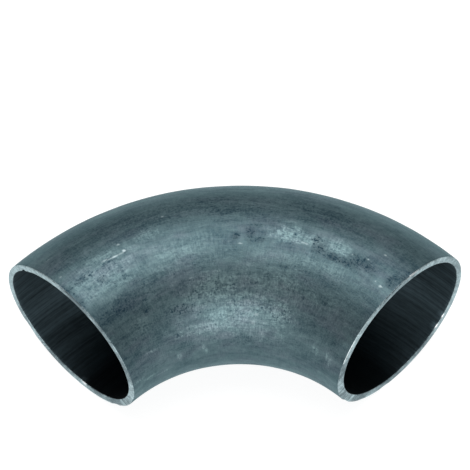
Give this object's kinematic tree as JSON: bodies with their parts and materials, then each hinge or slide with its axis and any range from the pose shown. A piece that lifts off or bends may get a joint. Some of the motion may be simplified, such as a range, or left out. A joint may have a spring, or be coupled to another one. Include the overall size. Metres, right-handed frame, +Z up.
{
  "type": "pipe elbow",
  "caption": "Steel butt-weld pipe elbow: one tube formed round a quarter turn at long radius, with square-cut open ends to weld to pipe.",
  "frame": {"origin": "on the surface that the elbow lies on, under the middle of its bounding box", "axes": "+Z up, square to the plane of the bend; +X from the left end to the right end; the back of the bend faces +Y, and the two open ends face -Y, turned 45 degrees to the left and to the right"},
  "size_m": [0.2242, 0.1091, 0.0889],
  "materials": {
    "bare_black_steel": "as-formed black mill scale with lighter rubbed patches; ends machined bright; bore dark with drawing marks along the tube"
  },
  "bodies": {
    "root": {"elbow_body": "bare_black_steel"}
  },
  "joints": []
}
